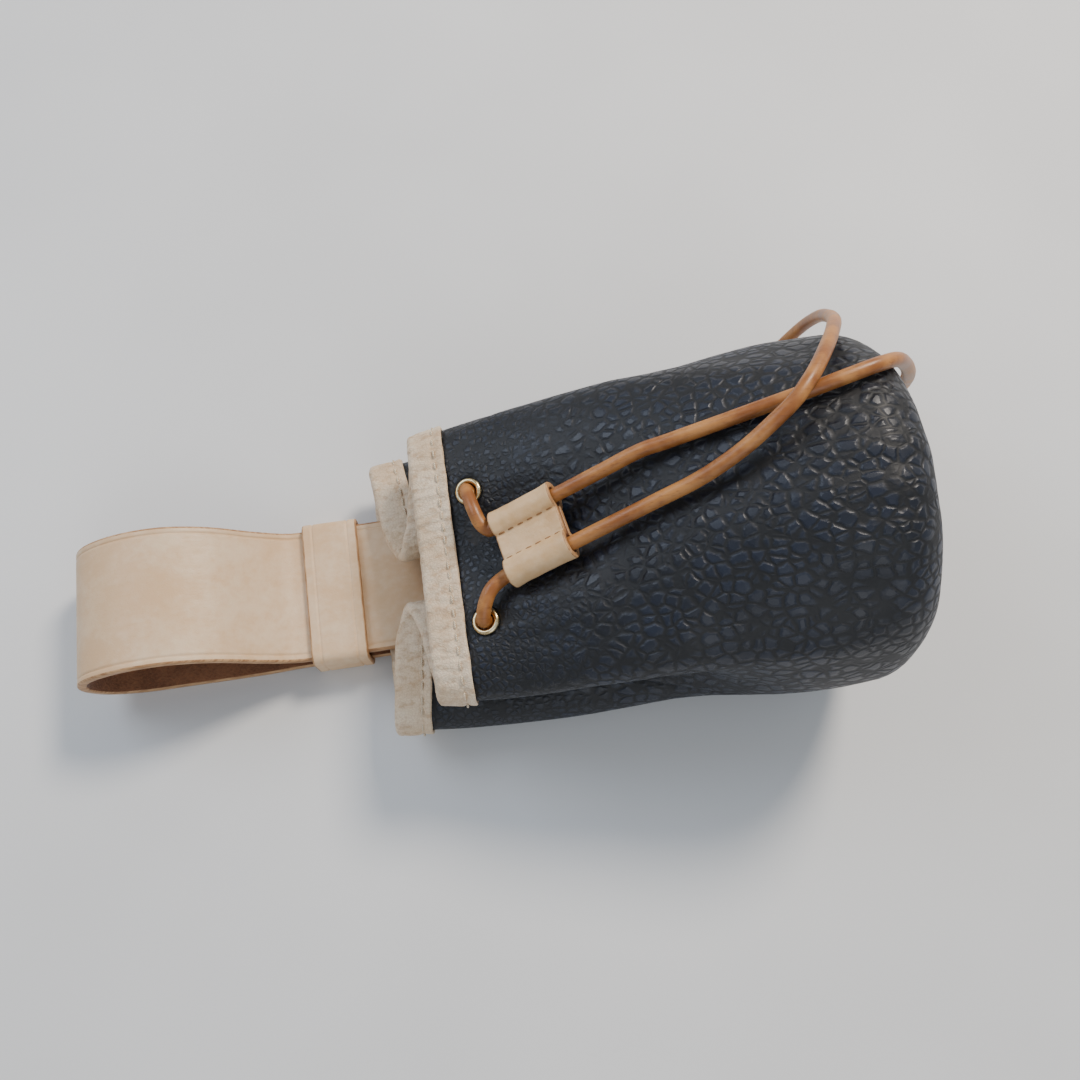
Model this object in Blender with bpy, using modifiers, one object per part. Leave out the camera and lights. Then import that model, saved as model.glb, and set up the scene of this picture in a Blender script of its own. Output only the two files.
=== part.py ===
"""Kinchaku: a leather drawstring pouch with a belt loop, lying on its back.

The frame: +X runs from the mouth to the base, +Y across the pouch, +Z up from the surface that it
lies on. The origin is at the middle of the footprint. Everything is in metres.
"""
import math

import bmesh
import bpy
from mathutils import Matrix, Vector

# ---------------------------------------------------------------- driving dimensions
GAP = 0.0003  # clearance that touching pieces keep
WALL = 0.0016  # soft leather of the body and the base
BASE_X = 0.1150  # outer face of the base
BASE_ROUND = 0.014  # radius where the wall turns into the base
HALF_WIDTH = 0.0467  # of the body's round end, at the middle of the wall
ROUND_TOP_Z = 0.0890
ROUND_BOTTOM_Z = -0.0040  # the round end sinks to this below its flat, and the floor flattens it
ROUND_CENTRE_Z = (ROUND_TOP_Z + ROUND_BOTTOM_Z) / 2
PLEAT_END = 0.95  # the pleats have opened out this far along the body
PLEAT_SPREAD = 0.10  # how far the half open pleats push the sides out at mid length
FRONT_RIM_X = -0.0115  # the front's rim is pulled back, the back's lies flat
BACK_RIM_X = -0.0260
MOUTH_SHIFT_Y = 0.0015  # the mouth lies a little to one side
STRAP_SEAT = 0.0047  # how far the strap under the back lifts it near the mouth
BINDING_STEP = 0.0016  # the back drops onto the strap by this behind the binding

EYELET_IN = 0.0145  # from the rim to an eyelet's centre
EYELET_HOLE_R = 0.0023
EYELET_BARREL_R = 0.0027
EYELET_FLANGE_R = 0.0038

BINDING_LEAF = 0.0011
BINDING_DEPTH = 0.0088
BINDING_GAP = 0.0005  # the leaves are flat across the rim, the wall between them curves

STRAP_WIDTH = 0.0400
STRAP_THICK = 0.0026
STRAP_Y = 0.0060  # the strap's middle line
STRAP_END_X = 0.0110  # both ends of the strap are sewn to the back here

KEEPER_THICK = 0.0016
KEEPER_X = (-0.0502, -0.0337)
KEEPER_HEIGHT = 0.0142

CORD_R = 0.0019
CHANNEL_SPACING = 0.0140
STOPPER_LENGTH = 0.0185
STOPPER_LEATHER = 0.0016

# Half of the mouth's section, (y, z) from the middle of the front, round the front corner, in along
# the pleat, out again, round the back corner, to the middle of the back.
MOUTH_KEYS = (
    (0.0000, 0.0407),
    (0.0175, 0.0427),
    (0.0290, 0.0427),
    (0.0350, 0.0405),
    (0.0370, 0.0369),
    (0.0340, 0.0333),
    (0.0270, 0.0317),
    (0.0170, 0.0305),
    (0.0112, 0.0293),
    (0.0082, 0.0257),
    (0.0112, 0.0221),
    (0.0170, 0.0209),
    (0.0300, 0.0201),
    (0.0368, 0.0179),
    (0.0393, 0.0137),
    (0.0366, 0.0093),
    (0.0305, 0.0073),
    (0.0160, 0.0071),
    (0.0000, 0.0071),
)
MOUTH_TOP = 0.0427
MOUTH_BOTTOM = 0.0071
MOUTH_HALF_WIDTH = 0.0393
FRONT_CORNER = 4  # numbers of keys in that list
BACK_CORNER = 14
SEAM = 11.3  # the side seam is just inside the pleat, between two keys
SEAM_HALF_GAP = 0.05
LAST_KEY = len(MOUTH_KEYS) - 1
KEY_STEPS = (2, 2, 1, 2, 2, 1, 2, 1, 2, 2, 1, 2, 1, 2, 2, 1, 2, 2)  # columns from key to key


def remove_everything():
    for obj in list(bpy.data.objects):
        bpy.data.objects.remove(obj, do_unlink=True)


def smooth(x):
    x = min(max(x, 0.0), 1.0)
    return x * x * (3.0 - 2.0 * x)


def mix(a, b, w):
    return a + (b - a) * w


# ---------------------------------------------------------------- the wall's shape
def curve_point(points, at):
    """A point on the smooth curve through the points; at is counted in points."""
    i = min(int(at), len(points) - 2)
    f = at - i
    a, b = Vector(points[i]), Vector(points[i + 1])
    before = Vector(points[i - 1]) if i > 0 else None
    after = Vector(points[i + 2]) if i + 2 < len(points) else None
    slope_a = (b - before) / 2 if before else b - a
    slope_b = (after - a) / 2 if after else b - a
    h = f * f * (3 - 2 * f)
    return a * (1 - h) + b * h + slope_a * (f * (1 - f) ** 2) - slope_b * (f * f * (1 - f))


def whole_mouth():
    """The half section with its mirrored neighbours, so that the curve is level at both middles."""
    near = [(-MOUTH_KEYS[1][0], MOUTH_KEYS[1][1])]
    far = [(-MOUTH_KEYS[-2][0], MOUTH_KEYS[-2][1])]
    return near + list(MOUTH_KEYS) + far


MOUTH = whole_mouth()
KEY_ARC = [0.0]
for one, two in zip(MOUTH_KEYS, MOUTH_KEYS[1:]):
    KEY_ARC.append(KEY_ARC[-1] + math.dist(one, two))


def arc_share(key):
    """How far round the half section a place is, by length, from 0 at the front to 1 at the back."""
    i = min(int(key), LAST_KEY - 1)
    return mix(KEY_ARC[i], KEY_ARC[i + 1], key - i) / KEY_ARC[-1]


def wall_point(key, side, along, turn=0.0):
    """The middle of the wall's thickness.

    key is the place round the half section, side is +1 or -1, along runs from 0 at the rim to 1 where
    the base's rounding starts, and turn is the angle round that rounding.
    """
    size = (along + smooth(along)) / 2
    top = mix(MOUTH_TOP, ROUND_TOP_Z, size)
    half_width = mix(MOUTH_HALF_WIDTH, HALF_WIDTH, size) * (1.0 + PLEAT_SPREAD * math.sin(math.pi * along))
    mouth = curve_point(MOUTH, key + 1.0)
    height = (mouth[1] - MOUTH_BOTTOM) / (MOUTH_TOP - MOUTH_BOTTOM)
    pleated = Vector((mouth[0] * half_width / MOUTH_HALF_WIDTH, mix(MOUTH_BOTTOM, top, height)))
    angle = math.pi * arc_share(key)
    bottom = mix(MOUTH_BOTTOM, ROUND_BOTTOM_Z, size)
    round_z = mix(bottom, top, (1.0 + math.cos(angle)) / 2)
    place = pleated.lerp(Vector((half_width * math.sin(angle), round_z)), smooth(along / PLEAT_END))
    leg = (key - FRONT_CORNER) / (BACK_CORNER - FRONT_CORNER)
    rim_x = mix(FRONT_RIM_X, BACK_RIM_X, smooth(leg))
    x = mix(rim_x, BASE_X - WALL / 2 - BASE_ROUND, along) + BASE_ROUND * math.sin(turn)
    shrink = 1.0 - BASE_ROUND / HALF_WIDTH * (1.0 - math.cos(turn))
    y = side * place[0] * shrink + MOUTH_SHIFT_Y * (1.0 - size)
    floor = WALL / 2 + STRAP_SEAT * (1.0 - smooth((x - 0.021) / 0.016))
    behind_binding = smooth((along - 0.075) / 0.10) * max(0.0, 1.0 - 3.0 * height)
    z = max(place[1] - BINDING_STEP * behind_binding, floor)
    return Vector((x, y, mix(ROUND_CENTRE_Z, z, shrink)))


def wall_frame(key, side, along):
    """A place on the wall, its outward normal, and the direction from the rim to the base."""
    step = 0.02
    here = wall_point(key, side, along)
    low, high = max(key - step, 0.0), min(key + step, LAST_KEY)
    around = (wall_point(high, side, along) - wall_point(low, side, along)) * side
    inward = (wall_point(key, side, along + step) - here).normalized()
    return here, inward.cross(around).normalized(), inward


def key_row(first, last):
    """Places round the half section from first to last, in steps that follow KEY_STEPS."""
    row = [first]
    for i, steps in enumerate(KEY_STEPS):
        row += [i + n / steps for n in range(steps) if first + 0.12 < i + n / steps < last - 0.12]
    return row + [last]


# ---------------------------------------------------------------- small tools
def new_collection(name):
    group = bpy.data.collections.new(name)
    bpy.context.scene.collection.children.link(group)
    return group


def material(name, colour, roughness, metallic=0.0):
    made = bpy.data.materials.new(name)
    made.use_nodes = True
    shader = made.node_tree.nodes["Principled BSDF"]
    shader.inputs["Base Color"].default_value = (*colour, 1.0)
    shader.inputs["Roughness"].default_value = roughness
    shader.inputs["Metallic"].default_value = metallic
    return made


def add_object(name, data, group, finish=None):
    obj = bpy.data.objects.new(name, data)
    group.objects.link(obj)
    if finish:
        data.materials.append(finish)
    return obj


def mesh_object(name, points, faces, group, finish=None):
    mesh = bpy.data.meshes.new(name)
    mesh.from_pydata([tuple(p) for p in points], [], faces)
    mesh.validate()
    mesh.shade_smooth()
    mesh.set_sharp_from_angle(angle=math.radians(40))
    return add_object(name, mesh, group, finish)


def grid_faces(rows, columns, closed=False):
    """Quads between rows of points; closed joins the last column to the first."""
    faces = []
    for r in range(rows - 1):
        for c in range(columns if closed else columns - 1):
            d = (c + 1) % columns
            faces.append((r * columns + c, r * columns + d, (r + 1) * columns + d, (r + 1) * columns + c))
    return faces


def thicken(obj, thickness):
    solid = obj.modifiers.new("thickness", "SOLIDIFY")
    solid.thickness = thickness
    solid.offset = 0.0
    solid.use_quality_normals = True
    return solid


def frame_matrix(place, x_axis, z_axis):
    """A matrix at a place with the given X and Z axes."""
    z = z_axis.normalized()
    x = (x_axis - x_axis.dot(z) * z).normalized()
    y = z.cross(x)
    return Matrix.Translation(place) @ Matrix((x, y, z)).transposed().to_4x4()


def flat_piece(name, outlines, half_depth, matrix, group, finish):
    """A closed outline, with the holes that follow it, pulled out to both sides of its plane."""
    curve = bpy.data.curves.new(name, "CURVE")
    curve.dimensions = "2D"
    curve.fill_mode = "BOTH"
    curve.extrude = half_depth
    for outline in outlines:
        spline = curve.splines.new("POLY")
        spline.points.add(len(outline) - 1)
        for point, (x, y) in zip(spline.points, outline):
            point.co = (x, y, 0.0, 1.0)
        spline.use_cyclic_u = True
    obj = add_object(name, curve, group, finish)
    obj.matrix_world = matrix
    return obj


def cord(name, route, group, finish):
    """A round cord along the smooth curve through the route, with a point between every two of its own."""
    points = [curve_point(route, n / 2) for n in range(2 * (len(route) - 1) + 1)]
    curve = bpy.data.curves.new(name, "CURVE")
    curve.dimensions = "3D"
    curve.bevel_depth = CORD_R
    curve.bevel_resolution = 2
    curve.use_fill_caps = True
    spline = curve.splines.new("POLY")
    spline.points.add(len(points) - 1)
    for point, place in zip(spline.points, points):
        point.co = (*place, 1.0)
    return add_object(name, curve, group, finish)


def arc(centre, radius, first, last, steps):
    """Points on an arc, with angles in degrees."""
    angles = [math.radians(mix(first, last, n / steps)) for n in range(steps + 1)]
    return [(centre[0] + radius * math.cos(a), centre[1] + radius * math.sin(a)) for a in angles]


# ---------------------------------------------------------------- the body
ROWS = [0.0] + [mix(0.085, 1.0, n / 11) for n in range(12)]  # the first row is the binding's depth
SEAM_TURN = math.radians(60)  # the base seam is part of the way round the rounding
ROUND_TURNS = [SEAM_TURN * n / 3 for n in (1, 2, 3)]


def panel(name, places, group, finish):
    """A wall panel: places are (key, side) from one side seam to the other."""
    points = [wall_point(key, side, along) for along in ROWS for key, side in places]
    points += [wall_point(key, side, 1.0, turn) for turn in ROUND_TURNS for key, side in places]
    rows = len(ROWS) + len(ROUND_TURNS)
    obj = mesh_object(name, points, grid_faces(rows, len(places)), group, finish)
    thicken(obj, WALL)
    return obj


def front_places():
    half = key_row(0.0, SEAM - SEAM_HALF_GAP)
    return [(k, -1) for k in reversed(half[1:])] + [(k, 1) for k in half]


def back_places():
    half = key_row(SEAM + SEAM_HALF_GAP, LAST_KEY)
    return [(k, 1) for k in half] + [(k, -1) for k in reversed(half[:-1])]


def rim_places():
    """All the way round, for what follows the rim."""
    half = key_row(0.0, SEAM - SEAM_HALF_GAP) + key_row(SEAM + SEAM_HALF_GAP, LAST_KEY)
    return [(k, 1) for k in half] + [(k, -1) for k in reversed(half[1:-1])]


BASE_TURNS = [SEAM_TURN + math.radians(n) for n in (3, 17, 30)]
BASE_RINGS = (0.72, 0.38)  # the flat part's inner rings, as shares of its size
BASE_BULGE = 0.0015


def base_ring_point(key, side, share):
    edge = wall_point(key, side, 1.0, math.pi / 2)
    bulge = BASE_BULGE * (1.0 - share * share)
    return Vector((edge.x + bulge, edge.y * share, mix(ROUND_CENTRE_Z, edge.z, share)))


def base_panel(group, finish):
    places = rim_places()[::2]
    points = [wall_point(k, s, 1.0, turn) for turn in BASE_TURNS for k, s in places]
    points += [base_ring_point(k, s, share) for share in BASE_RINGS for k, s in places]
    rows = len(BASE_TURNS) + len(BASE_RINGS)
    faces = grid_faces(rows, len(places), closed=True)
    points.append(base_ring_point(0.0, 1, 0.0))
    last = (rows - 1) * len(places)
    for c in range(len(places)):
        faces.append((last + c, last + (c + 1) % len(places), len(points) - 1))
    obj = mesh_object("base_panel", points, faces, group, finish)
    thicken(obj, WALL)
    return obj


def rim_strip_frame(key, side, depth):
    """A place on the straight strip between the rim and the wall's first row, and its outward normal."""

    def place(at):
        rim, row = wall_point(at, side, 0.0), wall_point(at, side, ROWS[1])
        return rim.lerp(row, depth / (row - rim).length)

    low, high = max(key - 0.02, 0.0), min(key + 0.02, LAST_KEY)
    inward = wall_point(key, side, ROWS[1]) - wall_point(key, side, 0.0)
    return place(key), inward.cross((place(high) - place(low)) * side).normalized()


def binding(group, finish):
    """A folded strip over the rim, all the way round: a U section swept along the rim."""
    inner = WALL / 2 + BINDING_GAP
    outer = inner + BINDING_LEAF
    section = [
        (BINDING_DEPTH, inner),
        (BINDING_DEPTH, outer),
        (-0.0009, outer),
        (-0.0019, outer * 0.5),
        (-0.0019, -outer * 0.5),
        (-0.0009, -outer),
        (BINDING_DEPTH, -outer),
        (BINDING_DEPTH, -inner),
        (-0.0008, -inner),
        (-0.0008, inner),
    ]
    places = rim_places()
    points = []
    for depth, offset in section:
        for key, side in places:
            here, normal = rim_strip_frame(key, side, depth)
            points.append(here + normal * offset)
    faces = grid_faces(len(section), len(places), closed=True)
    last = (len(section) - 1) * len(places)
    for c in range(len(places)):
        d = (c + 1) % len(places)
        faces.append((last + c, last + d, d, c))
    return mesh_object("mouth_binding", points, faces, group, finish)


# ---------------------------------------------------------------- eyelets
# Places round the half section, for +Y and -Y: on the front, on the pleat's upper leg, on its lower leg.
EYELET_KEYS = ((0.89, 1.12), (6.6, 6.6), (11.65, 11.65))


def eyelet_frames():
    frames = []
    for keys in EYELET_KEYS:
        for key, side in zip(keys, (1, -1)):
            rim = wall_point(key, side, 0.0)
            length = (wall_point(key, side, 0.2) - rim).length / 0.2
            frames.append(wall_frame(key, side, EYELET_IN / length))
    return frames


def turned(name, profile, steps, matrix, group, finish):
    """A ring turned from a closed profile of (radius, height), run down its outer side."""
    mesh = bpy.data.meshes.new(name)
    edges = [(i, (i + 1) % len(profile)) for i in range(len(profile))]
    mesh.from_pydata([(r, 0.0, z) for r, z in profile], edges, [])
    obj = add_object(name, mesh, group, finish)
    screw = obj.modifiers.new("turn", "SCREW")
    screw.steps = steps
    screw.render_steps = steps
    screw.use_merge_vertices = True
    screw.merge_threshold = 0.00001
    screw.use_smooth_shade = True
    obj.matrix_world = matrix
    return obj


def eyelets(walls, group, cutters, brass):
    top = WALL / 2 + GAP
    under = -(WALL / 2 + GAP)
    ring = [
        (EYELET_FLANGE_R - 0.0006, top + 0.0007),
        (EYELET_FLANGE_R, top),
        (EYELET_BARREL_R, top),
        (EYELET_BARREL_R, under - 0.0009),
        (EYELET_BARREL_R + 0.0006, under - 0.0010),
        (EYELET_BARREL_R + 0.0003, under - 0.0014),
        (EYELET_HOLE_R, under - 0.0010),
        (EYELET_HOLE_R, top + 0.0002),
        (EYELET_HOLE_R + 0.0004, top + 0.0007),
    ]
    washer = [
        (EYELET_FLANGE_R, under),
        (EYELET_FLANGE_R, under - 0.0005),
        (EYELET_BARREL_R + GAP, under - 0.0005),
        (EYELET_BARREL_R + GAP, under),
    ]
    for number, (place, normal, inward) in enumerate(eyelet_frames(), start=1):
        matrix = frame_matrix(place, inward, normal)
        turned(f"eyelet_{number}", ring, 14, matrix, group, brass)
        turned(f"eyelet_washer_{number}", washer, 14, matrix, group, brass)
        bpy.ops.mesh.primitive_cylinder_add(
            vertices=14, radius=EYELET_BARREL_R + GAP, depth=4 * WALL
        )
        cutter = bpy.context.object
        cutter.name = f"eyelet_hole_{number}"
        cutter.matrix_world = matrix
        cutter.hide_render = True
        cutter.display_type = "WIRE"
        for old in cutter.users_collection:
            old.objects.unlink(cutter)
        cutters.objects.link(cutter)
        cut = walls[number - 1].modifiers.new(f"hole {number}", "BOOLEAN")
        cut.operation = "DIFFERENCE"
        cut.solver = "EXACT"
        cut.object = cutter


# ---------------------------------------------------------------- belt strap and keeper
STRAP_LINE = (  # (x, z) of the strap's middle, from its inner end, round the belt loop, to its outer end
    (STRAP_END_X, 0.0089),
    (-0.0040, 0.0083),
    (-0.0165, 0.0109),
    (-0.0275, 0.0111),
    (-0.0380, 0.0108),
    (-0.0470, 0.0108),
    (-0.0550, 0.0113),
    (-0.0640, 0.0172),
    (-0.0750, 0.0264),
    (-0.0870, 0.0312),
    (-0.1000, 0.0300),
    (-0.1108, 0.0240),
    (-0.1152, 0.0150),
    (-0.1118, 0.0060),
    (-0.1030, 0.0020),
    (-0.0920, 0.0014),
    (-0.0680, 0.0014),
    (-0.0550, 0.0032),
    (-0.0400, 0.0032),
    (-0.0150, 0.0032),
    (STRAP_END_X, 0.0032),
)


def strap_outline():
    steps = 4
    line = [curve_point(STRAP_LINE, n / steps) for n in range(steps * (len(STRAP_LINE) - 1) + 1)]
    left, right = [], []
    for i, point in enumerate(line):
        ahead = (line[min(i + 1, len(line) - 1)] - line[max(i - 1, 0)]).normalized()
        out = Vector((-ahead[1], ahead[0])) * STRAP_THICK / 2
        left.append(tuple(point + out))
        right.append(tuple(point - out))
    return left + right[::-1]


def belt_strap(group, finish):
    upright = Matrix.Translation((0.0, STRAP_Y, 0.0)) @ Matrix.Rotation(math.pi / 2, 4, "X")
    return flat_piece("belt_strap", [strap_outline()], STRAP_WIDTH / 2, upright, group, finish)


def rounded_box(half_width, low, high, radius, steps=3):
    points = arc((half_width - radius, low + radius), radius, -90, 0, steps)
    points += arc((half_width - radius, high - radius), radius, 0, 90, steps)
    points += arc((radius - half_width, high - radius), radius, 90, 180, steps)
    points += arc((radius - half_width, low + radius), radius, 180, 270, steps)
    return points


def strap_keeper(group, finish):
    """A band round both layers of the strap, free to slide along it."""
    half = STRAP_WIDTH / 2 + GAP
    outer = rounded_box(half + KEEPER_THICK, 0.0, KEEPER_HEIGHT, 0.0026)
    inner = rounded_box(half, KEEPER_THICK, KEEPER_HEIGHT - KEEPER_THICK, 0.0005)
    middle = (KEEPER_X[0] + KEEPER_X[1]) / 2
    place = Vector((middle, STRAP_Y, 0.0))
    across = Matrix((Vector((0, 1, 0)), Vector((0, 0, 1)), Vector((1, 0, 0)))).transposed().to_4x4()
    half_length = (KEEPER_X[1] - KEEPER_X[0]) / 2
    matrix = Matrix.Translation(place) @ across
    return flat_piece("strap_keeper", [outer, inner], half_length, matrix, group, finish)


# ---------------------------------------------------------------- cord stopper
STOPPER_CENTRE = Vector((0.0171, -0.0002, 0.0573))
STRAND_DIRECTION = Vector((0.8803, 0.1821, 0.4381)).normalized()
STOPPER_UP = Vector((-0.43, 0.0, 0.90))  # about square to the front under it
CHANNEL_R = CORD_R + GAP
CHANNEL_OUTER_R = CHANNEL_R + STOPPER_LEATHER


def stopper_axes():
    up = (STOPPER_UP - STOPPER_UP.dot(STRAND_DIRECTION) * STRAND_DIRECTION).normalized()
    return up.cross(STRAND_DIRECTION), up


ACROSS, UP = stopper_axes()


def strand_point(side, distance):
    """A place in a channel: side is +1 for the upper strand, distance runs from the stopper's middle."""
    offset = ACROSS * side * CHANNEL_SPACING / 2
    return STOPPER_CENTRE + offset + STRAND_DIRECTION * distance


def cord_stopper(group, finish):
    """One strip folded round both strands: two channels with a flat web between them."""
    spread = CHANNEL_SPACING / 2
    web = math.degrees(math.asin(STOPPER_LEATHER / CHANNEL_OUTER_R))
    outline = arc((spread, 0.0), CHANNEL_OUTER_R, web - 180, 180 - web, 14)
    outline += arc((-spread, 0.0), CHANNEL_OUTER_R, web, 360 - web, 14)
    holes = [arc((x, 0.0), CHANNEL_R, 0, 330, 11) for x in (spread, -spread)]
    matrix = frame_matrix(STOPPER_CENTRE, ACROSS, STRAND_DIRECTION)
    return flat_piece("cord_stopper", [outline, *holes], STOPPER_LENGTH / 2, matrix, group, finish)


# ---------------------------------------------------------------- drawcord
STRAIGHT = (-0.0112, -0.0093, 0.0000, 0.0130, 0.0240, 0.0340)  # places along the straight strands
CUT = GAP / 2  # each end stops this far short of its neighbour
KNOT_CENTRE = Vector((0.1120, 0.0505, 0.0042))
KNOT_HALF = Vector((0.0100, 0.0074, 0.0039))
KNOT_LEG = 0.0022  # the legs leave the knot side by side

UPPER_BEND = (  # from an eyelet to the stopper
    (0.0020, 0.0146, 0.0510),
    (0.0029, 0.0104, 0.0523),
    (0.0041, 0.0067, 0.0521),
)
LOWER_BEND = (
    (0.0024, -0.0154, 0.0516),
    (0.0046, -0.0118, 0.0528),
)
UPPER_ROUTE = (  # from the stopper over the front and the base, down to the knot behind the pouch
    (0.0530, 0.0134, 0.0743),
    (0.0656, 0.0143, 0.0794),
    (0.0782, 0.0156, 0.0836),
    (0.0877, 0.0166, 0.0866),
    (0.0959, 0.0180, 0.0882),
    (0.1039, 0.0201, 0.0876),
    (0.1102, 0.0226, 0.0835),
    (0.1155, 0.0253, 0.0757),
    (0.1217, 0.0286, 0.0640),
    (0.1278, 0.0329, 0.0500),
    (0.1333, 0.0377, 0.0340),
    (0.1372, 0.0425, 0.0200),
    (0.1390, 0.0456, 0.0110),
    (0.1386, 0.0472, 0.0048),
    (0.1345, 0.0480, 0.0024),
    (0.1280, 0.0483, 0.0023),
)
LOWER_ROUTE = (  # over the upper strand, out past the side, down and back to the knot
    (0.0567, 0.0008, 0.0772),
    (0.0630, 0.0026, 0.0813),
    (0.0693, 0.0052, 0.0851),
    (0.0757, 0.0089, 0.0886),
    (0.0809, 0.0125, 0.0905),
    (0.0848, 0.0164, 0.0908),
    (0.0885, 0.0208, 0.0892),
    (0.0928, 0.0266, 0.0857),
    (0.0974, 0.0332, 0.0803),
    (0.1023, 0.0407, 0.0720),
    (0.1072, 0.0482, 0.0602),
    (0.1117, 0.0562, 0.0470),
    (0.1140, 0.0634, 0.0345),
    (0.1137, 0.0677, 0.0225),
    (0.1112, 0.0690, 0.0120),
    (0.1066, 0.0673, 0.0052),
    (0.1014, 0.0645, 0.0024),
    (0.0962, 0.0610, 0.0023),
    (0.0938, 0.0565, 0.0023),
    (0.0960, 0.0534, 0.0023),
)
UPPER_TAIL = (
    (0.1280, 0.0526, 0.0023),
    (0.1340, 0.0535, 0.0023),
    (0.1395, 0.0556, 0.0023),
    (0.1440, 0.0580, 0.0023),
)
LOWER_TAIL = (
    (0.0960, 0.0478, 0.0023),
    (0.0890, 0.0474, 0.0023),
)


def knot_leg(end, side):
    """Where a leg meets the knot: end is +1 at its base end, side is +1 at its far side."""
    x = KNOT_CENTRE.x + end * (KNOT_HALF.x + GAP)
    return (x, KNOT_CENTRE.y + side * KNOT_LEG, 0.0026)


def drawcord(group, finish):
    frames = eyelet_frames()
    for name, side, frame, bend, route, leg in (
        ("drawcord_upper", 1, frames[0], UPPER_BEND, UPPER_ROUTE, (1, -1)),
        ("drawcord_lower", -1, frames[1], LOWER_BEND, LOWER_ROUTE, (-1, 1)),
    ):
        place, normal, _ = frame
        points = [place + normal * CUT, place + normal * 0.0014, place + normal * 0.0028, *bend]
        points += [strand_point(side, distance) for distance in STRAIGHT]
        points += [*route, knot_leg(*leg)]
        cord(name, points, group, finish)
    cord("drawcord_upper_tail", [knot_leg(1, 1), *UPPER_TAIL], group, finish)
    cord("drawcord_lower_tail", [knot_leg(-1, -1), *LOWER_TAIL], group, finish)
    threaded = []
    for side in (0, 1):  # the same way round on both sides, from a front eyelet to the middle of the back
        half = []
        through = (-0.0036, -0.0024, 0.0018, 0.0030)  # heights where it is square to the wall
        for number, passes in enumerate(((-CUT, -0.0024, -0.0036), through, through[::-1])):
            place, normal, _ = frames[2 * number + side]
            half += [place + normal * height for height in passes]
        across = 1 if side == 0 else -1
        half.append(Vector((-0.0112, across * 0.0205, 0.0153)))
        half.append(Vector((-0.0115, across * 0.0100, 0.0147)))
        threaded.append(half)
    points = threaded[0] + threaded[1][::-1]
    cord("drawcord_threaded", points, group, finish)
    bpy.ops.mesh.primitive_uv_sphere_add(segments=14, ring_count=8, radius=1.0)
    knot = bpy.context.object
    knot.name = "drawcord_knot"
    knot.scale = KNOT_HALF
    knot.location = KNOT_CENTRE
    knot.data.materials.append(finish)
    for old in knot.users_collection:
        old.objects.unlink(knot)
    group.objects.link(knot)


def build():
    remove_everything()
    parts = new_collection("kinchaku_pouch")
    cutters = new_collection("cutters")
    black = material("black_leather", (0.012, 0.014, 0.022), 0.5)
    natural = material("natural_leather", (0.72, 0.53, 0.36), 0.55)
    tan = material("tan_cord", (0.50, 0.26, 0.10), 0.5)
    brass = material("brass", (0.80, 0.62, 0.34), 0.3, 1.0)
    front = panel("front_panel", front_places(), parts, black)
    back = panel("back_panel", back_places(), parts, black)
    base_panel(parts, black)
    binding(parts, natural)
    eyelets((front, front, front, front, back, back), parts, cutters, brass)
    belt_strap(parts, natural)
    strap_keeper(parts, natural)
    cord_stopper(parts, natural)
    drawcord(parts, tan)


build()
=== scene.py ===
"""Looks of the kinchaku: a soft leather drawstring pouch with a belt loop, lying on its back.

Everything is in metres in the frame of the CAD model: +X from the mouth to the base, +Z up.
"""
import math

import bmesh
import bpy
from mathutils import Matrix, Vector, noise


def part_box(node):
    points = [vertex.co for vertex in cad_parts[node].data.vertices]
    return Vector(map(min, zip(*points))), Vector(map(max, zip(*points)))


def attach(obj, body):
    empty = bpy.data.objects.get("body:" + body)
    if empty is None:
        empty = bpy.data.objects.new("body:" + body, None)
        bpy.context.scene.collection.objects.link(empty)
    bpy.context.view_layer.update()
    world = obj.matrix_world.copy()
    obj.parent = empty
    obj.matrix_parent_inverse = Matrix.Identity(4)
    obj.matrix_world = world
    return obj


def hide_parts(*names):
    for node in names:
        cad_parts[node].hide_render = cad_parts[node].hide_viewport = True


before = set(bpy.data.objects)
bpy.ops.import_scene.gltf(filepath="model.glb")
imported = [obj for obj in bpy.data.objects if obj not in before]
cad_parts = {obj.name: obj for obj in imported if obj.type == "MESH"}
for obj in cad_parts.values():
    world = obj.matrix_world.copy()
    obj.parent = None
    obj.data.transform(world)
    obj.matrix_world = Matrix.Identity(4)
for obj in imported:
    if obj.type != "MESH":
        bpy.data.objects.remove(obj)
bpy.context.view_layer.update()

MM = 0.001

# ---------------------------------------------------------------- sizes that the CAD model fixes
WALL = 0.0016  # thickness of the body's hide
BASE_X = 0.1150
BASE_ROUND = 0.014
HALF_WIDTH = 0.0467
ROUND_TOP_Z = 0.0890
ROUND_BOTTOM_Z = -0.0040
ROUND_CENTRE_Z = (ROUND_TOP_Z + ROUND_BOTTOM_Z) / 2
PLEAT_END = 0.95  # the pleats have opened out this far along
PLEAT_SPREAD = 0.10
FRONT_RIM_X = -0.0115
BACK_RIM_X = -0.0260
MOUTH_SHIFT_Y = 0.0015
STRAP_SEAT = 0.0047  # the strap under the back lifts it by this
BINDING_STEP = 0.0016  # and behind the binding the back drops by this
BASE_BULGE = 0.0015
EYELET_IN = 0.0145  # from the rim to an eyelet's middle
EYELET_KEYS = ((0.89, 1.12), (6.6, 6.6), (11.65, 11.65))
EYELET_HOLE_R = 0.0023
EYELET_BARREL_R = 0.0027
EYELET_FLANGE_R = 0.0038
BINDING_DEPTH = 0.0088
RIM_STRIP = 0.085  # the wall is straight from the rim to this far along
STRAP_WIDTH = 0.0400
STRAP_THICK = 0.0026
STRAP_Y = 0.0060
KEEPER_THICK = 0.0016
KEEPER_HEIGHT = 0.0142
CORD_R = 0.0019
STOPPER_CENTRE = Vector((0.0171, -0.0002, 0.0573))
STRAND_DIRECTION = Vector((0.8803, 0.1821, 0.4381)).normalized()
STOPPER_UP = Vector((-0.43, 0.0, 0.90))
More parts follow.
